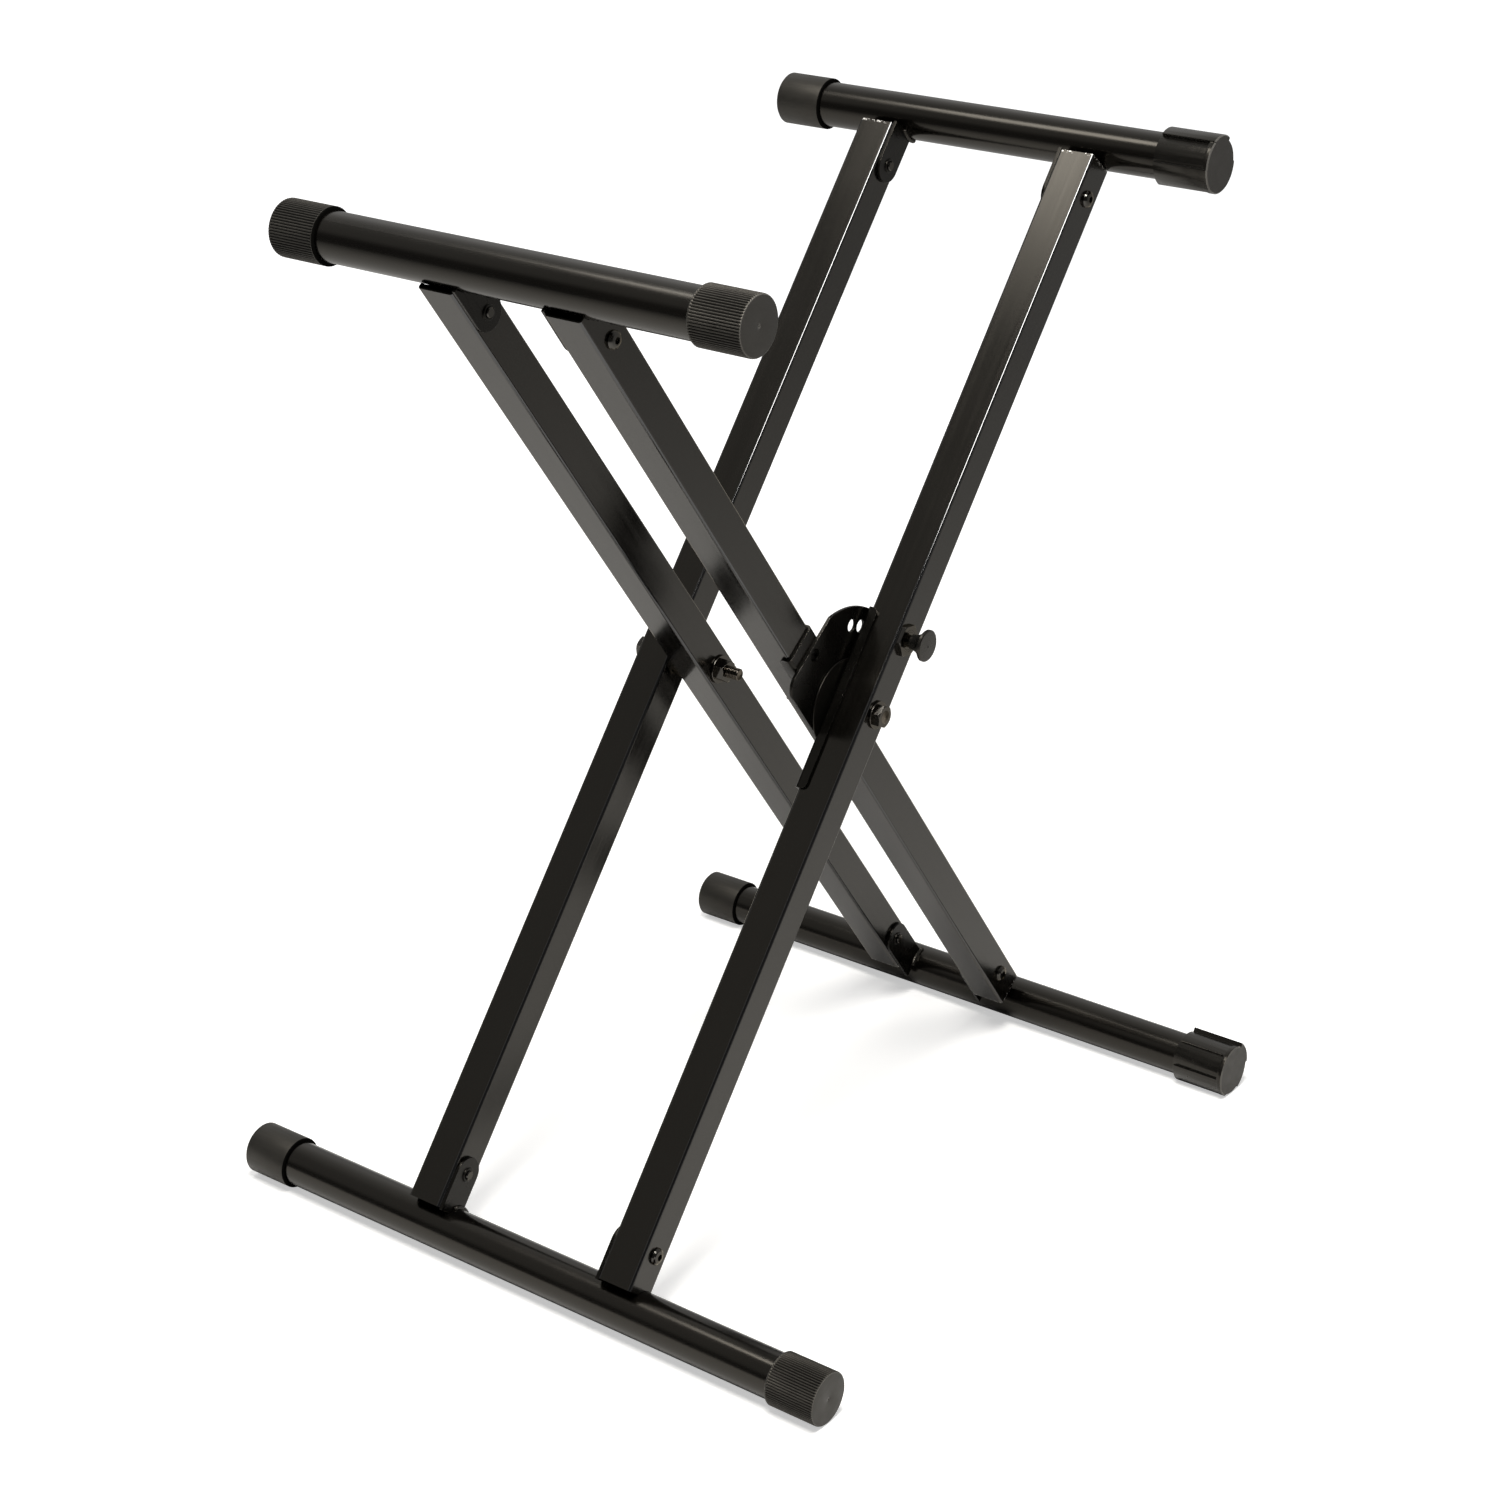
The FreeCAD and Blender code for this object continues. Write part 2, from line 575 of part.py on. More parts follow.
def plunger_nut():
    y, z = lock_place()
    nut = chamfered_hexagon(PLUNGER_NUT_FLATS, OUTER_ARM_FACE, BARREL_END, 90, y, z)
    return nut.cut(rod(BARREL_RADIUS, OUTER_ARM_FACE - 1, BARREL_END + 1, y, z))


def barrel_gland():
    return ring(CHAMBER_RADIUS, PIN_RADIUS + PIN_RUNNING, CHAMBER_END, BARREL_END, *lock_place())


def lock_spring():
    """Unbroken wire wound between the pin's collar and the gland, in short facets."""
    y, z = lock_place()
    length = CHAMBER_END - COLLAR_END - 2 * SPRING_WIRE
    count = SPRING_TURNS * SPRING_STEPS
    rings = []
    for k in range(count + 1):
        around = 2 * math.pi * k / SPRING_STEPS
        outwards = V(0, math.cos(around), math.sin(around))
        centre = V(COLLAR_END + SPRING_WIRE + length * k / count, y, z) + outwards * SPRING_RADIUS
        angles = [2 * math.pi * j / SPRING_SIDES for j in range(SPRING_SIDES)]
        rings.append([
            centre + outwards * (SPRING_WIRE * math.cos(a)) + ALONG_X * (SPRING_WIRE * math.sin(a))
            for a in angles
        ])
    faces = [Part.Face(Part.makePolygon(ring + [ring[0]])) for ring in (rings[0], rings[-1])]
    for near, far in zip(rings, rings[1:]):
        for j in range(SPRING_SIDES):
            a, b = near[j - 1], near[j]
            c, d = far[j], far[j - 1]
            faces.append(Part.Face(Part.makePolygon([a, b, c, a])))
            faces.append(Part.Face(Part.makePolygon([a, c, d, a])))
    shell = Part.makeShell(faces)
    shell.sewShape()
    coil = Part.makeSolid(shell)
    if coil.Volume < 0:
        coil.reverse()
    return coil


def lock_pin():
    """Nose that enters the plate, collar that takes the spring, and stem."""
    y, z = lock_place()
    stem_end = KNOB_START + KNOB_BORE_DEPTH
    return turned([
        (PIN_TIP, 0.0),
        (PIN_TIP, PIN_RADIUS - 0.6),
        (PIN_TIP + 0.6, PIN_RADIUS),
        (COLLAR_START, PIN_RADIUS),
        (COLLAR_START, COLLAR_RADIUS),
        (COLLAR_END, COLLAR_RADIUS),
        (COLLAR_END, PIN_RADIUS),
        (stem_end, PIN_RADIUS),
        (stem_end, 0.0),
    ], y, z)


def lock_knob():
    """Mushroom pull knob: a neck that flares out to a thin-rimmed flat face."""
    y, z = lock_place()
    face = KNOB_START + KNOB_LENGTH
    rim_start = face - KNOB_RIM - 0.9
    neck = V(KNOB_START, KNOB_NECK_RADIUS, 0)
    waist = V(KNOB_START + 6.2, KNOB_NECK_RADIUS + 1.5, 0)
    flare = V(rim_start, KNOB_RADIUS - 0.5, 0)
    rim_low = V(rim_start + 0.6, KNOB_RADIUS, 0)
    rim_high = V(face - 1.0, KNOB_RADIUS, 0)
    face_edge = V(face - 0.25, KNOB_RADIUS - 1.1, 0)
    centre = V(face, 0, 0)
    bore_end = KNOB_START + KNOB_BORE_DEPTH
    edges = [
        Part.Arc(neck, waist, flare),
        Part.LineSegment(flare, rim_low),
        Part.LineSegment(rim_low, rim_high),
        Part.LineSegment(rim_high, face_edge),
        Part.LineSegment(face_edge, centre),
        Part.LineSegment(centre, V(bore_end, 0, 0)),
        Part.LineSegment(V(bore_end, 0, 0), V(bore_end, PIN_RADIUS, 0)),
        Part.LineSegment(V(bore_end, PIN_RADIUS, 0), V(KNOB_START, PIN_RADIUS, 0)),
        Part.LineSegment(V(KNOB_START, PIN_RADIUS, 0), neck),
    ]
    outline = Part.Wire([edge.toShape() for edge in edges])
    knob = Part.Face(outline).revolve(V(0, 0, 0), ALONG_X, 360)
    knob.translate(V(0, y, z))
    return knob


# ---------------------------------------------------------------- assembly
def build_inner_frame():
    lean = INNER_LEAN
    top = (TOP_HALF_LENGTH, INNER_SET_BACK, INNER_TOP)
    bottom = (BOTTOM_HALF_LENGTH, INNER_SET_BACK, INNER_BOTTOM)
    save("front_top_bar", crossbar(*top), lean)
    save("rear_bottom_bar", crossbar(*bottom), lean)
    save("inner_arm_left", inner_arm(-1), lean)
    save("inner_arm_right", inner_arm(1), lean)
    joint_set("front_top", INNER_ARM_X, INNER_SET_BACK, INNER_TOP, INNER_TOP_EAR_SHORT, lean)
    joint_set("rear_bottom", INNER_ARM_X, INNER_SET_BACK, INNER_BOTTOM, INNER_BOTTOM_EAR_SHORT, lean)
    save("inner_ear_bolts", ear_bolts(INNER_ARM_X), lean)
    save("front_top_cap_left", mirrored(plain_cap(*top)), lean)
    save("front_top_cap_right", plain_cap(*top), lean)
    save("rear_bottom_cap_left", mirrored(plain_cap(*bottom)), lean)
    save("inner_saddle", inner_saddle(), lean)
    save("lock_plate", lock_plate(), lean)


def build_outer_frame():
    lean = OUTER_LEAN
    top = (TOP_HALF_LENGTH, OUTER_SET_BACK, OUTER_TOP)
    bottom = (BOTTOM_HALF_LENGTH, OUTER_SET_BACK, OUTER_BOTTOM)
    save("rear_top_bar", crossbar(*top), lean)
    save("front_bottom_bar", crossbar(*bottom), lean)
    save("outer_arm_left", outer_arm(-1), lean)
    save("outer_arm_right", outer_arm(1), lean)
    joint_set("rear_top", OUTER_ARM_X, OUTER_SET_BACK, OUTER_TOP, OUTER_TOP_EAR_SHORT, lean)
    joint_set("front_bottom", OUTER_ARM_X, OUTER_SET_BACK, OUTER_BOTTOM, OUTER_BOTTOM_EAR_SHORT, lean)
    save("outer_ear_bolts", ear_bolts(OUTER_ARM_X), lean)
    save("rear_top_cap_left", mirrored(plain_cap(*top)), lean)
    save("front_bottom_cap_left", mirrored(plain_cap(*bottom)), lean)
    save("front_bottom_cap_right", plain_cap(*bottom), lean)
    save("outer_saddle", outer_saddle(), lean)
    save("friction_disc", friction_disc(), lean)


def build_pivots():
    lean = OUTER_LEAN
    save("pivot_bolt_right", pivot_bolt(RIGHT_BOLT_TAIL), lean)
    save("pivot_bolt_left", mirrored(pivot_bolt(LEFT_BOLT_TAIL)), lean)
    save("pivot_head_washers", both_sides(head_washer()), lean)
    save("pivot_inner_washers", both_sides(inner_washer()), lean)
    save("pivot_nuts", both_sides(pivot_nut()), lean)
    save("left_spacers", left_spacers(), lean)


def build_plunger():
    lean = OUTER_LEAN
    save("plunger_barrel", plunger_barrel(), lean)
    save("plunger_nut", plunger_nut(), lean)
    save("barrel_gland", barrel_gland(), lean)
    save("lock_spring", lock_spring(), lean)
    save("lock_pin", lock_pin(), lean)
    save("lock_knob", lock_knob(), lean)


def build_levelling_caps():
    """Their steps are set upright in the shared frame, so the lean is taken off."""
    for name, half_length, place, steps, lean in (
        ("rear_top", TOP_HALF_LENGTH, (OUTER_SET_BACK, OUTER_TOP), REAR_TOP_STEPS, OUTER_LEAN),
        ("rear_bottom", BOTTOM_HALF_LENGTH, (INNER_SET_BACK, INNER_BOTTOM), REAR_BOTTOM_STEPS, INNER_LEAN),
    ):
        y, z = leaned(place[0], place[1], lean)
        save(name + "_levelling_cap", levelling_cap(half_length, y, z, steps), 0.0)


os.makedirs("parts", exist_ok=True)
build_inner_frame()
build_outer_frame()
build_pivots()
build_plunger()
build_levelling_caps()
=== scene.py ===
import json
import math

import bpy
import numpy as np
from mathutils import Euler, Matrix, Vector


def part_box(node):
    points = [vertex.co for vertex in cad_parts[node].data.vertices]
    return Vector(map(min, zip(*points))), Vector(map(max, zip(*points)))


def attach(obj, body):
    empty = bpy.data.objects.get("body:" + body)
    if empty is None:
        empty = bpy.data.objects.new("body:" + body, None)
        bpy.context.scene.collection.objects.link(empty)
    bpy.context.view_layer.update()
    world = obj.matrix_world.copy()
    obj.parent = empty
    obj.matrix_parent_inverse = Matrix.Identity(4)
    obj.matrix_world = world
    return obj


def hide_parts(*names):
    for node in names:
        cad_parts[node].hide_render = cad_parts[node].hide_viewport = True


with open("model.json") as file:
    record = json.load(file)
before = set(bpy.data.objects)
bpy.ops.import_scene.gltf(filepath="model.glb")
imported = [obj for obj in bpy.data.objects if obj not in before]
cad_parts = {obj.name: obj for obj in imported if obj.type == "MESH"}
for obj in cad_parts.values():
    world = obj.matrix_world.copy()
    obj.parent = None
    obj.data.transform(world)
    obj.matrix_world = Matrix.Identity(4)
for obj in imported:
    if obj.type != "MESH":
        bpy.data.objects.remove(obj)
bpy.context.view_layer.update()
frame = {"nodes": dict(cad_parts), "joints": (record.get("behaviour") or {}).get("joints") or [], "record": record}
nodes = frame["nodes"]


# ---------------------------------------------------------------- places, in metres
PIVOT = Vector(next(j for j in frame["joints"] if j["name"] == "fold")["pos_m"])
BAR_RADIUS = 0.019
CAP_RADIUS = 0.0219
INNER_SET_BACK = 0.00734
OUTER_SET_BACK = 0.01046
EAR_THICKNESS = 0.003
ARM_REACH = 0.4935
LOCK_RADIUS = 0.0646
BLACK_OXIDE = (0.070, 0.067, 0.062)


def bar_centre(node):
    """Middle of a crossbar's or a cap's box, on its axis."""
    low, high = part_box(node)
    return Vector((0, (low[1] + high[1]) / 2, (low[2] + high[2]) / 2))


def frame_lean(top_bar, set_back):
    """Angle of a frame about the pivot, from where its top crossbar is."""
    reach = bar_centre(top_bar) - PIVOT
    height = math.sqrt(reach.y ** 2 + reach.z ** 2 - set_back ** 2)
    return math.atan2(reach.z, reach.y) - math.atan2(height, set_back)


INNER_LEAN = frame_lean("front_top_bar", INNER_SET_BACK)
OUTER_LEAN = frame_lean("rear_top_bar", OUTER_SET_BACK)


# ---------------------------------------------------------------- material helpers
class Shader:
    """One node material: a principled surface, and short ways to add to it."""

    def __init__(self, name, colour, roughness, metallic=0.0):
        self.material = bpy.data.materials.new(name)
        self.material.use_nodes = True
        self.tree = self.material.node_tree
        self.bsdf = next(n for n in self.tree.nodes if n.type == "BSDF_PRINCIPLED")
        self.bsdf.inputs["Base Color"].default_value = (*colour, 1)
        self.bsdf.inputs["Roughness"].default_value = roughness
        self.bsdf.inputs["Metallic"].default_value = metallic
        self.bsdf.inputs["Specular Tint"].default_value = (1.0, 0.93, 0.81, 1)
        self.coords = self.add("ShaderNodeTexCoord").outputs["Object"]

    def add(self, kind, **settings):
        node = self.tree.nodes.new(kind)
        for key, value in settings.items():
            setattr(node, key, value)
        return node

    def link(self, source, target):
        self.tree.links.new(source, target)

    def noise(self, scale, detail=2.0, roughness=0.5, coords=None):
        node = self.add("ShaderNodeTexNoise")
        node.inputs["Scale"].default_value = scale
        node.inputs["Detail"].default_value = detail
        node.inputs["Roughness"].default_value = roughness
        self.link(coords or self.coords, node.inputs["Vector"])
        return node.outputs["Fac"]

    def remap(self, value, low, high, to_low, to_high):
        node = self.add("ShaderNodeMapRange")
        for key, number in zip(("From Min", "From Max", "To Min", "To Max"), (low, high, to_low, to_high)):
            node.inputs[key].default_value = number
        self.link(value, node.inputs["Value"])
        return node.outputs["Result"]

    def mix_colour(self, factor, first, second):
        node = self.add("ShaderNodeMix", data_type="RGBA")
        self.link(factor, node.inputs["Factor"])
        for index, colour in ((6, first), (7, second)):
            if isinstance(colour, tuple):
                node.inputs[index].default_value = (*colour, 1)
            else:
                self.link(colour, node.inputs[index])
        return node.outputs[2]

    def math(self, operation, first, second=0.0):
        node = self.add("ShaderNodeMath", operation=operation)
        for socket, value in zip(node.inputs, (first, second)):
            if isinstance(value, float):
                socket.default_value = value
            else:
                self.link(value, socket)
        return node.outputs[0]

    def in_frame(self, lean):
        """Object coordinates turned into a leaning frame's own plane, from the pivot."""
        turned = Euler((-lean, 0, 0)).to_matrix() @ PIVOT
        node = self.add("ShaderNodeMapping")
        node.inputs["Rotation"].default_value = (-lean, 0, 0)
        node.inputs["Location"].default_value = -turned
        self.link(self.coords, node.inputs["Vector"])
        return node.outputs["Vector"]

    def scaled(self, vector, factors):
        node = self.add("ShaderNodeMapping")
        node.inputs["Scale"].default_value = factors
        self.link(vector, node.inputs["Vector"])
        return node.outputs["Vector"]

    def axis(self, vector, name):
        node = self.add("ShaderNodeSeparateXYZ")
        self.link(vector, node.inputs[0])
        return node.outputs[name]

    def bump(self, height, distance, strength=1.0, under=None):
        node = self.add("ShaderNodeBump")
        node.inputs["Strength"].default_value = strength
        node.inputs["Distance"].default_value = distance
        self.link(height, node.inputs["Height"])
        if under is not None:
            self.link(under, node.inputs["Normal"])
        self.link(node.outputs["Normal"], self.bsdf.inputs["Normal"])
        return node.outputs["Normal"]


def tube_paint():
    """Semi-gloss black paint: fine orange peel and a slightly uneven sheen."""
    s = Shader("tube_paint", (0.0009, 0.0008, 0.0007), 0.19)
    s.link(s.remap(s.noise(16.0, 4.0), 0.3, 0.7, 0.16, 0.22), s.bsdf.inputs["Roughness"])
    tone = s.mix_colour(s.noise(11.0, 5.0), (0.0006, 0.0005, 0.0005), (0.0013, 0.0011, 0.0009))
    s.link(tone, s.bsdf.inputs["Base Color"])
    s.bump(s.noise(1100.0, 2.0), 0.00002, 0.25)
    return s.material


def arm_paint(name, lean, worn_end):
    """The tubes' paint with faint drawing streaks along the arm.

    The rounded corners are smoother and take a lighter metallic colour, a painted highlight along them; one cut
    end (1 top, -1 bottom) has bare chips.
    """
    s = Shader(name, (0.0009, 0.0008, 0.0007), 0.19)
    place = s.in_frame(lean)
    streaks = s.noise(45.0, 4.0, 0.55, s.scaled(place, (5.0, 5.0, 0.16)))
    cloud = s.noise(14.0, 4.0, 0.5, place)
    blend = s.math("ADD", s.math("MULTIPLY", streaks, 0.6), s.math("MULTIPLY", cloud, 0.4))
    paint_rough = s.remap(blend, 0.35, 0.65, 0.150, 0.225)
    paint = s.mix_colour(blend, (0.0005, 0.0005, 0.0004), (0.0014, 0.0012, 0.0010))
    along = s.math("MULTIPLY", s.axis(place, "Z"), worn_end)
    edge = s.remap(along, ARM_REACH - 0.0022, ARM_REACH - 0.0010, 0.0, 1.0)
    chips = s.remap(s.noise(420.0, 3.0, 0.7, place), 0.55, 0.59, 0.0, 1.0)
    worn = s.math("MULTIPLY", edge, chips)
    facing = s.math("ABSOLUTE", s.axis(s.add("ShaderNodeNewGeometry").outputs["Normal"], "X"))
    corner = s.math("MULTIPLY", s.remap(facing, 0.05, 0.16, 0.0, 1.0), s.remap(facing, 0.90, 0.98, 1.0, 0.0))
    # Painted highlight: the rounded corners are mixed towards a lighter metallic colour, so the line along them
    # shines brighter.
    corner_highlight = s.mix_colour(corner, paint, (0.085, 0.086, 0.088))
    s.link(s.mix_colour(worn, corner_highlight, (0.75, 0.73, 0.70)), s.bsdf.inputs["Base Color"])
    s.link(s.math("MAXIMUM", worn, corner), s.bsdf.inputs["Metallic"])
    smooth = s.math("SUBTRACT", paint_rough, s.math("MULTIPLY", corner, 0.07))
    s.link(s.math("ADD", smooth, s.math("MULTIPLY", worn, 0.12)), s.bsdf.inputs["Roughness"])
    s.bump(streaks, 0.00002, 0.12)
    return s.material


def inner_arm_paint():
    """The inner arms' paint, chipped at the bottom ends."""
    return arm_paint("inner_arm_paint", INNER_LEAN, -1.0)


def outer_arm_paint():
    """The outer arms' paint, chipped at the top ends."""
    return arm_paint("outer_arm_paint", OUTER_LEAN, 1.0)


def lock_paint():
    """Thinner, duller black on pressed steel plate."""
    s = Shader("lock_paint", (0.0007, 0.0007, 0.0006), 0.28)
    s.bsdf.inputs["Specular IOR Level"].default_value = 0.24
    s.link(s.remap(s.noise(40.0, 3.0), 0.3, 0.7, 0.22, 0.32), s.bsdf.inputs["Roughness"])
    s.bump(s.noise(1500.0, 2.0), 0.00002, 0.3)
    return s.material


def from_pivot(s):
    """Coordinates from the pivot's axis: x along it, the turn about it, and the distance out."""
    place = s.in_frame(0.0)
    x, y, z = (s.axis(place, name) for name in "XYZ")
    turn = s.math("DIVIDE", s.math("ARCTAN2", z, y), 2 * math.pi)
    out = s.math("SQRT", s.math("ADD", s.math("MULTIPLY", y, y), s.math("MULTIPLY", z, z)))
    return x, turn, out


def wear_and_highlight_edge():
    """Edges in patchy bright metal, as wide as a bevel: a painted highlight along them, with some wear; the rims
    of the lock holes stay black.
    """
    s = Shader("wear_and_highlight_edge", (0.10, 0.09, 0.08), 0.26, 1.0)
    out = from_pivot(s)[2]
    off_circle = s.math("ABSOLUTE", s.math("SUBTRACT", out, LOCK_RADIUS))
    outline = s.remap(off_circle, 0.0065, 0.0085, 0.0, 1.0)
    # Painted highlight: away from the lock holes the bevels run to a pale metal, patchy with wear.
    patchy = s.math("MULTIPLY", outline, s.remap(s.noise(260.0, 4.0, 0.6), 0.30, 0.70, 0.3, 1.0))
    s.link(s.mix_colour(patchy, (0.004, 0.004, 0.003), (0.15, 0.14, 0.125)), s.bsdf.inputs["Base Color"])
    return s.material


def painted_highlight_edge():
    """Edges of a moulding in a lighter colour, a little glossier: a painted highlight along the steps."""
    s = Shader("painted_highlight_edge", (0.030, 0.029, 0.027), 0.20)
    s.link(s.remap(s.noise(200.0, 3.0), 0.3, 0.7, 0.15, 0.26), s.bsdf.inputs["Roughness"])
    return s.material


def moulding(name, dark, light, roughness, shade_grooves=False):
    """Black moulded rubber: its sides between two tones, lighter and matter flat ends, and a pale rounded rim that
    is a painted highlight.
    """
    s = Shader(name, dark, roughness)
    facing = s.math("ABSOLUTE", s.axis(s.add("ShaderNodeNewGeometry").outputs["Normal"], "X"))
    # The flat end faces are given a lighter colour and more roughness than the sides.
    end_faces = s.remap(facing, 0.72, 0.97, 0.0, 1.0)
    # Painted highlight: the rounded rim between the sides and the flat ends is given a pale colour.
    rim = s.math("MULTIPLY", s.remap(facing, 0.40, 0.62, 0.0, 1.0), s.remap(facing, 0.80, 0.97, 1.0, 0.0))
    cloud = s.noise(60.0, 5.0, 0.6)
    sides = s.mix_colour(cloud, dark, light)
    ends = s.mix_colour(cloud, (0.0190, 0.0183, 0.0174), (0.0265, 0.0255, 0.0242))
    tone = s.mix_colour(rim, s.mix_colour(end_faces, sides, ends), (0.090, 0.087, 0.082))
    if shade_grooves:
        # Painted shade: the grooves between the ribs are painted near black and reflect less.
        groove = s.add("ShaderNodeAttribute", attribute_name="groove").outputs["Fac"]
        tone = s.mix_colour(s.remap(groove, 0.35, 0.95, 0.0, 1.0), tone, (0.0006, 0.0006, 0.0006))
        s.link(s.remap(groove, 0.35, 0.95, 0.5, 0.05), s.bsdf.inputs["Specular IOR Level"])
    s.link(tone, s.bsdf.inputs["Base Color"])
    sheen = s.remap(s.noise(120.0, 3.0), 0.3, 0.7, roughness - 0.04, roughness + 0.04)
    s.link(s.math("ADD", sheen, s.math("MULTIPLY", end_faces, 0.50 - roughness)), s.bsdf.inputs["Roughness"])
    s.bump(s.noise(2600.0, 2.0), 0.00002, 0.3)
    return s.material


def cap_rubber():
    """The plain end caps."""
    return moulding("cap_rubber", (0.0080, 0.0077, 0.0072), (0.0120, 0.0115, 0.0106), 0.46)


def ribbed_rubber():
    """The ribbed end caps, with painted shade down in their grooves."""
    return moulding("ribbed_rubber", (0.0090, 0.0086, 0.0078), (0.0132, 0.0126, 0.0115), 0.44, True)


def levelling_rubber():
    """The stepped caps: a harder, glossier moulding."""
    return moulding("levelling_rubber", (0.0020, 0.0019, 0.0017), (0.0036, 0.0034, 0.0030), 0.24)


def shaded_mouth():
    """The open rim of a cap, where the bar goes in: near-black rubber, painted shade in the gap at the bar."""
    s = Shader("shaded_mouth", (0.0012, 0.0012, 0.0012), 0.9)
    s.bsdf.inputs["Specular IOR Level"].default_value = 0.05
    s.bump(s.noise(2600.0, 2.0), 0.00003, 0.4)
    return s.material


def steel(name):
    """Black-oxide steel, faintly oily, so it mirrors the room darkly."""
    s = Shader(name, BLACK_OXIDE, 0.12, 1.0)
    s.link(s.remap(s.noise(220.0, 4.0), 0.3, 0.7, 0.09, 0.16), s.bsdf.inputs["Roughness"])
    return s


def black_fastener():
    """Ear bolts, nuts and washers, with a faint grain."""
    s = steel("black_fastener")
    s.bump(s.noise(1800.0, 3.0), 0.00002, 0.2)
    return s.material


def threaded_fastener():
    """The same steel with a 1.5 mm thread, a helix about the pivot, on the shanks only."""
    s = steel("threaded_fastener")
    x, turn, out = from_pivot(s)
    ridge = s.math("PINGPONG", s.math("FRACT", s.math("ADD", s.math("DIVIDE", x, 0.0015), turn)), 0.5)
    shank = s.remap(out, 0.0051, 0.0055, 1.0, 0.0)
    # Painted shade and highlight: the thread's roots are painted near black and its crests pale.
    thread = s.mix_colour(s.remap(ridge, 0.15, 0.4, 0.0, 1.0), (0.010, 0.009, 0.008), (0.12, 0.105, 0.088))
    s.link(s.mix_colour(shank, BLACK_OXIDE, thread), s.bsdf.inputs["Base Color"])
    s.bump(s.math("MULTIPLY", ridge, shank), 0.0006, 1.0)
    return s.material


def weld_paint():
    """Paint over a weld bead, with a few raw specks."""
    s = Shader("weld_paint", (0.0035, 0.0033, 0.0030), 0.20)
    specks = s.remap(s.noise(900.0, 3.0, 0.7), 0.66, 0.71, 0.0, 1.0)
    tone = s.mix_colour(specks, (0.0035, 0.0033, 0.0030), (0.40, 0.39, 0.37))
    s.link(tone, s.bsdf.inputs["Base Color"])
    s.link(specks, s.bsdf.inputs["Metallic"])
    s.bump(s.noise(700.0, 3.0), 0.0002, 0.5)
    return s.material


def spring_steel():
    """Bright drawn wire."""
    s = Shader("spring_steel", (0.45, 0.45, 0.46), 0.28, 1.0)
    s.link(s.remap(s.noise(300.0, 2.0), 0.3, 0.7, 0.22, 0.36), s.bsdf.inputs["Roughness"])
    return s.material


def wear_ring():
    """Greased friction washer, nearly as dark as the plate it turns on."""
    s = Shader("wear_ring", (0.0016, 0.0015, 0.0014), 0.34)
    s.bsdf.inputs["Specular IOR Level"].default_value = 0.3
    s.bump(s.noise(900.0, 2.0), 0.00003, 0.3)
    return s.material


def knob_plastic():
    """Satin black moulding."""
    s = Shader("knob_plastic", (0.0045, 0.0043, 0.0039), 0.25)
    s.link(s.remap(s.noise(260.0, 3.0), 0.3, 0.7, 0.20, 0.30), s.bsdf.inputs["Roughness"])
    s.bump(s.noise(1600.0, 2.0), 0.00002, 0.3)
    return s.material


MATERIALS = {make.__name__: make() for make in (
    tube_paint, inner_arm_paint, outer_arm_paint, lock_paint, cap_rubber, ribbed_rubber,
    shaded_mouth, levelling_rubber, painted_highlight_edge, wear_and_highlight_edge, black_fastener, threaded_fastener,
    weld_paint, spring_steel, wear_ring, knob_plastic,
)}
# Nodes whose finish is not simply that of their slot.
SPECIAL = {
    "inner_arm_left": "inner_arm_paint",
    "inner_arm_right": "inner_arm_paint",
    "outer_arm_left": "outer_arm_paint",
    "outer_arm_right": "outer_arm_paint",
    "rear_top_levelling_cap": "levelling_rubber",
    "rear_bottom_levelling_cap": "levelling_rubber",
    "pivot_bolt_left": "threaded_fastener",
    "pivot_bolt_right": "threaded_fastener",
}


def dress(obj, material):
    """Give a piece one of the materials."""
    obj.data.materials.clear()
    obj.data.materials.append(MATERIALS[material])
    for polygon in obj.data.polygons:
        polygon.material_index = 0
    return obj


def soften(node, width, edge=None):
    """Round a CAD node's sharp edges a little, as paint and moulding do, and give the bevels a second material
    when one is named.
    """
    obj = nodes[node]
    weld = obj.modifiers.new("weld", "WELD")
    weld.merge_threshold = 0.000002
    bevel = obj.modifiers.new("bevel", "BEVEL")
    bevel.width = width
    bevel.segments = 2
    bevel.limit_method = "ANGLE"
    bevel.angle_limit = math.radians(38)
    bevel.use_clamp_overlap = True
    bevel.harden_normals = True
    if edge:
        obj.data.materials.append(MATERIALS[edge])
        bevel.material = 1


for part in frame["record"]["subparts"]:
    dress(nodes[part["node"]], SPECIAL.get(part["node"], part["material_slot"]))

# Where a bevel material is named, it is lighter than the part: a painted highlight along the edges.
for edge_width, edge_finish, edge_nodes in (
    (0.0004, "wear_and_highlight_edge", ("lock_plate", "inner_saddle", "outer_saddle")),
    (0.0004, None, ("front_top_ears", "rear_bottom_ears", "rear_top_ears", "front_bottom_ears",
                   "friction_disc")),
    (0.0003, "wear_and_highlight_edge", ("pivot_bolt_right", "pivot_bolt_left", "pivot_nuts", "plunger_nut",
                           "plunger_barrel", "pivot_head_washers", "pivot_inner_washers")),
    (0.0006, "painted_highlight_edge", ("rear_top_levelling_cap", "rear_bottom_levelling_cap")),
    (0.0006, None, ("rear_top_cap_left", "front_bottom_cap_left", "rear_bottom_cap_left")),
):
    for edge_node in edge_nodes:
        soften(edge_node, edge_width, edge_finish)


def shade_mouth(obj, mouth):
    """Give a cap's open rim, the flat ring at x = mouth, the near-black material that is painted shade."""
    obj.data.materials.append(MATERIALS["shaded_mouth"])
    for polygon in obj.data.polygons:
        middle = obj.matrix_world @ polygon.center
        if abs(middle.x - mouth) < 0.0007:
            polygon.material_index = 1


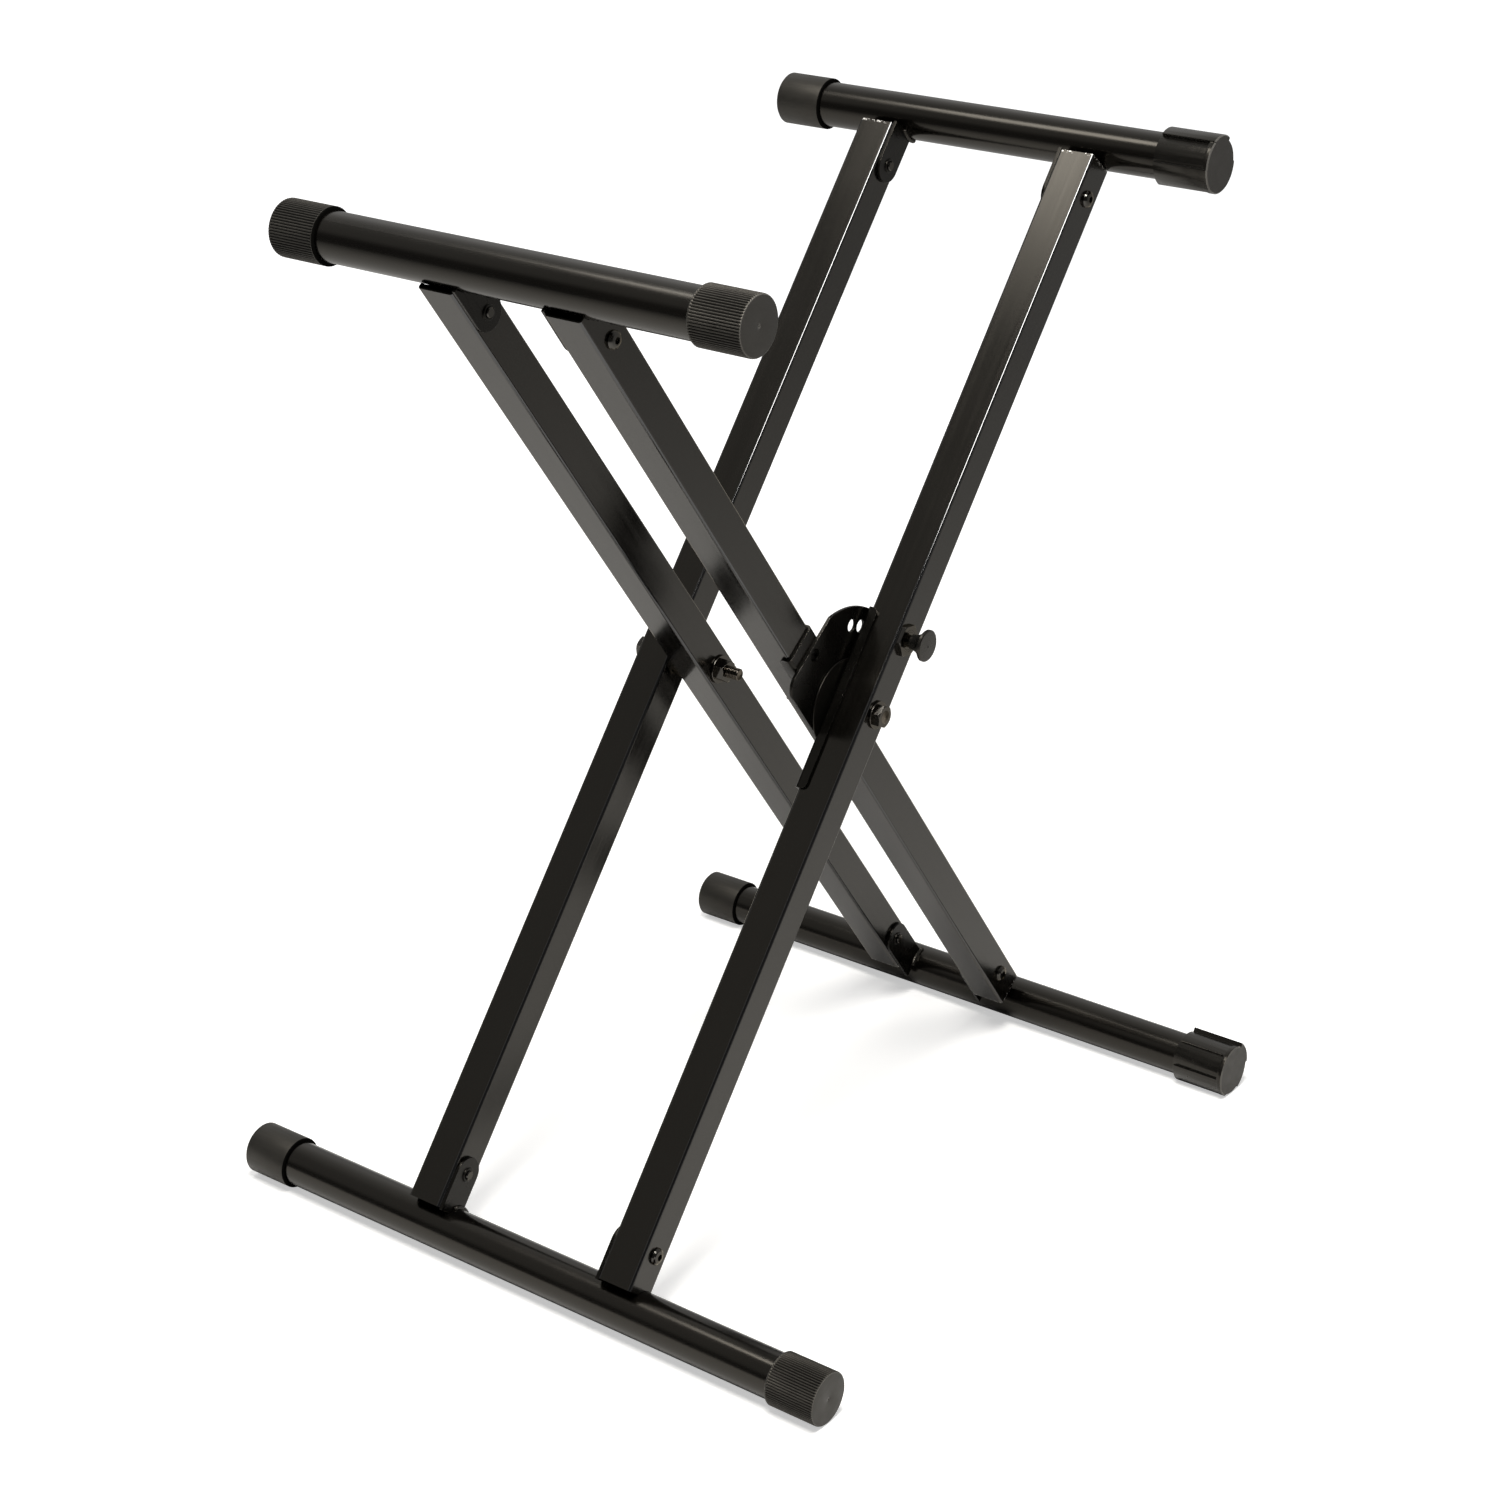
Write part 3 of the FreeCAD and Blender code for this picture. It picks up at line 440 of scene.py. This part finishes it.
for plain_cap in ("rear_top_cap_left", "front_bottom_cap_left", "rear_bottom_cap_left"):
    shade_mouth(nodes[plain_cap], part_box(plain_cap)[1][0])


# ---------------------------------------------------------------- new pieces
def new_piece(name, points, faces, material, body, node):
    """A mesh object that rides on a body and stands for a CAD node."""
    mesh = bpy.data.meshes.new(name)
    mesh.from_pydata(points.reshape(-1, 3).tolist(), [], faces)
    mesh.validate()
    mesh.shade_smooth()
    piece = bpy.data.objects.new(name, mesh)
    bpy.context.scene.collection.objects.link(piece)
    dress(piece, material)
    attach(piece, body)
    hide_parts(node)
    return piece


def grid_faces(rows, columns, offset=0, flip=False):
    """Quads of a grid whose columns close on themselves."""
    faces = []
    for row in range(rows - 1):
        for column in range(columns):
            following = (column + 1) % columns
            quad = (row * columns + column, row * columns + following,
                    (row + 1) * columns + following, (row + 1) * columns + column)
            quad = tuple(offset + index for index in quad)
            faces.append(quad[::-1] if flip else quad)
    return faces


def ribbed_cap(node, body, side):
    """A sleeve with fine lengthwise ribs, turned from its profile.

    Round the bar the radius is the profile's, less a groove between ribs:
    depth * (1 + cos(ribs * angle)) / 2, which fades out at both ends.
    """
    ribs, samples, depth = 64, 10, 0.0007
    low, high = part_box(node)
    centre = bar_centre(node)
    mouth, end = (low[0], high[0]) if side > 0 else (high[0], low[0])
    bore = BAR_RADIUS + 0.00005
    profile = [(0.0440, bore, 0), (0.0440, CAP_RADIUS - 0.0008, 0), (0.0438, CAP_RADIUS - 0.0003, 0),
               (0.0433, CAP_RADIUS, 0), (0.0428, CAP_RADIUS, 0.2), (0.0420, CAP_RADIUS, 1),
               (0.0220, CAP_RADIUS, 1), (0.0022, CAP_RADIUS, 1)]
    for step in range(5):
        turn = math.radians(22.5 * step)
        profile.append((0.0015 - 0.0015 * math.sin(turn), CAP_RADIUS - 0.0015 + 0.0015 * math.cos(turn),
                        (0.9, 0.6, 0.25, 0.05, 0)[step]))
    profile += [(0.0, 0.0120, 0), (0.0, 0.0034, 0), (0.0002, 0.0026, 0), (0.0003, 0.0006, 0),
                (0.0030, 0.0006, 0), (0.0030, bore, 0), (0.0440, bore, 0)]
    angle = np.linspace(0, 2 * np.pi, ribs * samples, endpoint=False)
    groove = (1 + np.cos(ribs * angle)) / 2
    rows = []
    shade = []
    for inward, radius, ribbing in profile:
        r = radius - depth * groove * ribbing
        shade.append(groove * ribbing)
        x = np.full_like(angle, end - side * inward)
        rows.append(np.stack([x, centre.y + r * np.cos(angle), centre.z + r * np.sin(angle)], axis=1))
    points = np.array(rows)
    faces = grid_faces(len(profile), len(angle), flip=side < 0)
    piece = new_piece(node + "_ribbed", points, faces, "ribbed_rubber", body, node)
    # The groove attribute tells the material where to put the painted shade in the grooves.
    piece.data.attributes.new("groove", "FLOAT", "POINT").data.foreach_set("value", np.concatenate(shade))
    if side < 0:
        shade_mouth(piece, mouth)
    return piece


ribbed_cap("front_top_cap_left", "inner_frame", -1)
ribbed_cap("front_top_cap_right", "inner_frame", 1)
ribbed_cap("front_bottom_cap_right", "outer_frame", 1)


def rippled_weld(joint, bar, lean, end, body):
    """Two beads in the corners between a crossbar and its ears.

    Across a bead the section is the part of a circle outside the bar and clear of
    the ear. Along it the circle swells and shrinks in overlapping crescents:
    1 + 0.16 * (saw of the ripple count), delayed at the middle of the section. The
    last tenth at each end tapers.
    The end is 1 for a top crossbar and -1 for a bottom one.
    """
    ripples, steps, across = 13, 156, 12
    radius, ring_radius, half_angle = 0.0022, BAR_RADIUS + 0.0006, math.radians(30)
    centre = bar_centre(bar)
    face_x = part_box(joint + "_ears")[1][0] - EAR_THICKNESS
    middle = lean - end * math.pi / 2
    along = np.linspace(-1, 1, steps)[:, None]
    section = np.radians(np.linspace(-8, 112, across))[None, :]
    phase = (along + 1) / 2 * ripples - 0.55 * np.sin(section)
    swell = 1 + 0.16 * (np.mod(phase, 1.0) - 0.5) - 2.5 * np.clip(np.abs(along) - 0.9, 0, 1)
    size = radius * swell
    turn = middle + along * half_angle
    reach = ring_radius + size * np.cos(section)
    out = -size * np.sin(section)
    y = centre.y + reach * np.cos(turn)
    z = centre.z + reach * np.sin(turn)
    x = face_x + out + 0 * y
    points = []
    faces = []
    for side in (1, -1):
        offset = sum(len(p) for p in points)
        sheet = np.stack([side * x, y, z], axis=2)
        root_y = centre.y + (ring_radius - 0.0012) * np.cos(turn)
        root_z = centre.z + (ring_radius - 0.0012) * np.sin(turn)
        root = np.stack([np.full_like(root_y, side * (face_x + 0.0008)), root_y, root_z], axis=2)
        closed = np.concatenate([sheet, root], axis=1)
        points.append(closed.reshape(-1, 3))
        faces += grid_faces(steps, across + 1, offset, flip=side > 0)
        first = tuple(offset + k for k in range(across + 1))
        last = tuple(offset + (steps - 1) * (across + 1) + k for k in range(across + 1))
        faces += [first[::-1] if side < 0 else first, last if side < 0 else last[::-1]]
    return new_piece(joint + "_beads", np.concatenate(points), faces, "weld_paint", body,
                     joint + "_welds")


rippled_weld("front_top", "front_top_bar", INNER_LEAN, 1, "inner_frame")
rippled_weld("rear_bottom", "rear_bottom_bar", INNER_LEAN, -1, "inner_frame")
rippled_weld("rear_top", "rear_top_bar", OUTER_LEAN, 1, "outer_frame")
rippled_weld("front_bottom", "front_bottom_bar", OUTER_LEAN, -1, "outer_frame")


# ---------------------------------------------------------------- floor, light, camera
def camera_share(tree):
    """Light Path's factor that is one for what the camera sees directly."""
    return tree.nodes.new("ShaderNodeLightPath").outputs["Is Camera Ray"]


def stage_floor():
    """A white floor; the camera sees it as evenly white, apart from the shadow."""
    mesh = bpy.data.meshes.new("floor")
    side, front, rear = 4.0, 4.0, 2.4
    corners = [(-side, -front, 0), (side, -front, 0), (side, rear, 0), (-side, rear, 0)]
    mesh.from_pydata(corners, [], [(0, 1, 2, 3)])
    floor = bpy.data.objects.new("floor", mesh)
    bpy.context.scene.collection.objects.link(floor)
    floor.location.z = -0.0002
    s = Shader("floor_white", (0.77, 0.77, 0.77), 0.9)
    distance = s.add("ShaderNodeVectorMath", operation="LENGTH")
    s.link(s.coords, distance.inputs[0])
    lift = s.remap(distance.outputs["Value"], 0.7, 2.2, 0.50, 1.0)
    s.bsdf.inputs["Emission Color"].default_value = (1, 1, 1, 1)
    s.bsdf.inputs["Specular IOR Level"].default_value = 0.0
    s.link(s.math("MULTIPLY", lift, camera_share(s.tree)), s.bsdf.inputs["Emission Strength"])
    floor.data.materials.append(s.material)


def stage_light(name, place, aim, size, power):
    """A rectangular softbox, long side along x, that the camera does not see."""
    light = bpy.data.lights.new(name, "AREA")
    light.shape = "RECTANGLE"
    light.size, light.size_y = size
    light.energy = power
    light.color = (1.0, 0.975, 0.93)
    lamp = bpy.data.objects.new(name, light)
    lamp.location = place
    lamp.rotation_euler = (Vector(aim) - Vector(place)).to_track_quat("-Z", "Y").to_euler()
    bpy.context.scene.collection.objects.link(lamp)
    lamp.visible_camera = False


def stage_world():
    """White to the camera; to everything else a room that is dark in front and pale behind."""
    world = bpy.data.worlds.new("studio")
    bpy.context.scene.world = world
    world.use_nodes = True
    tree = world.node_tree
    background = next(n for n in tree.nodes if n.type == "BACKGROUND")
    output = next(n for n in tree.nodes if n.type == "OUTPUT_WORLD")
    direction = tree.nodes.new("ShaderNodeTexCoord").outputs["Generated"]
    split = tree.nodes.new("ShaderNodeSeparateXYZ")
    tree.links.new(direction, split.inputs[0])
    def fade(axis, low, high, weight):
        """A smooth step of the direction's share along one axis, from nothing to weight."""
        node = tree.nodes.new("ShaderNodeMapRange")
        node.interpolation_type = "SMOOTHSTEP"
        for key, number in (("From Min", low), ("From Max", high), ("To Min", 0.0), ("To Max", weight)):
            node.inputs[key].default_value = number
        tree.links.new(split.outputs[axis], node.inputs["Value"])
        return node.outputs["Result"]

    def combine(operation, first, second):
        node = tree.nodes.new("ShaderNodeMath")
        node.operation = operation
        tree.links.new(first, node.inputs[0])
        if isinstance(second, float):
            node.inputs[1].default_value = second
        else:
            tree.links.new(second, node.inputs[1])
        return node.outputs[0]

    overhead_left = combine("MULTIPLY", fade("X", 0.0, -0.45, 1.0), fade("Z", 0.2, 0.5, 0.27))
    room = combine("ADD", combine("ADD", fade("Y", -0.3, 0.6, 0.33), overhead_left), 0.09)
    background.inputs["Color"].default_value = (1, 0.99, 0.97, 1)
    tree.links.new(room, background.inputs["Strength"])
    white = tree.nodes.new("ShaderNodeBackground")
    white.inputs["Color"].default_value = (1, 1, 1, 1)
    white.inputs["Strength"].default_value = 1.15
    mix = tree.nodes.new("ShaderNodeMixShader")
    tree.links.new(camera_share(tree), mix.inputs[0])
    tree.links.new(background.outputs[0], mix.inputs[1])
    tree.links.new(white.outputs[0], mix.inputs[2])
    tree.links.new(mix.outputs[0], output.inputs["Surface"])


def stage_camera():
    """The camera that took the photo, fitted to the crossbars' ends."""
    data = bpy.data.cameras.new("photo_camera")
    data.sensor_fit = "AUTO"
    data.sensor_width = 36.0
    data.lens = 72.316
    data.shift_x = 0.04909
    data.shift_y = 0.01402
    data.clip_end = 60.0
    camera = bpy.data.objects.new("photo_camera", data)
    camera.location = (1.33250, -1.87746, 1.35037)
    camera.rotation_euler = Euler((1.158248, -0.010547, 0.655434), "XYZ")
    bpy.context.scene.collection.objects.link(camera)
    bpy.context.scene.camera = camera


stage_floor()
stage_world()
stage_light("softbox_core", (0.50, -0.90, 2.60), (0.50, -0.75, 0.0), (0.80, 1.25), 84.0)
stage_light("softbox_left", (-0.84, -0.52, 2.62), (-0.84, -0.44, 0.0), (0.90, 0.64), 11.2)
stage_camera()
bpy.context.scene.view_settings.view_transform = "Standard"
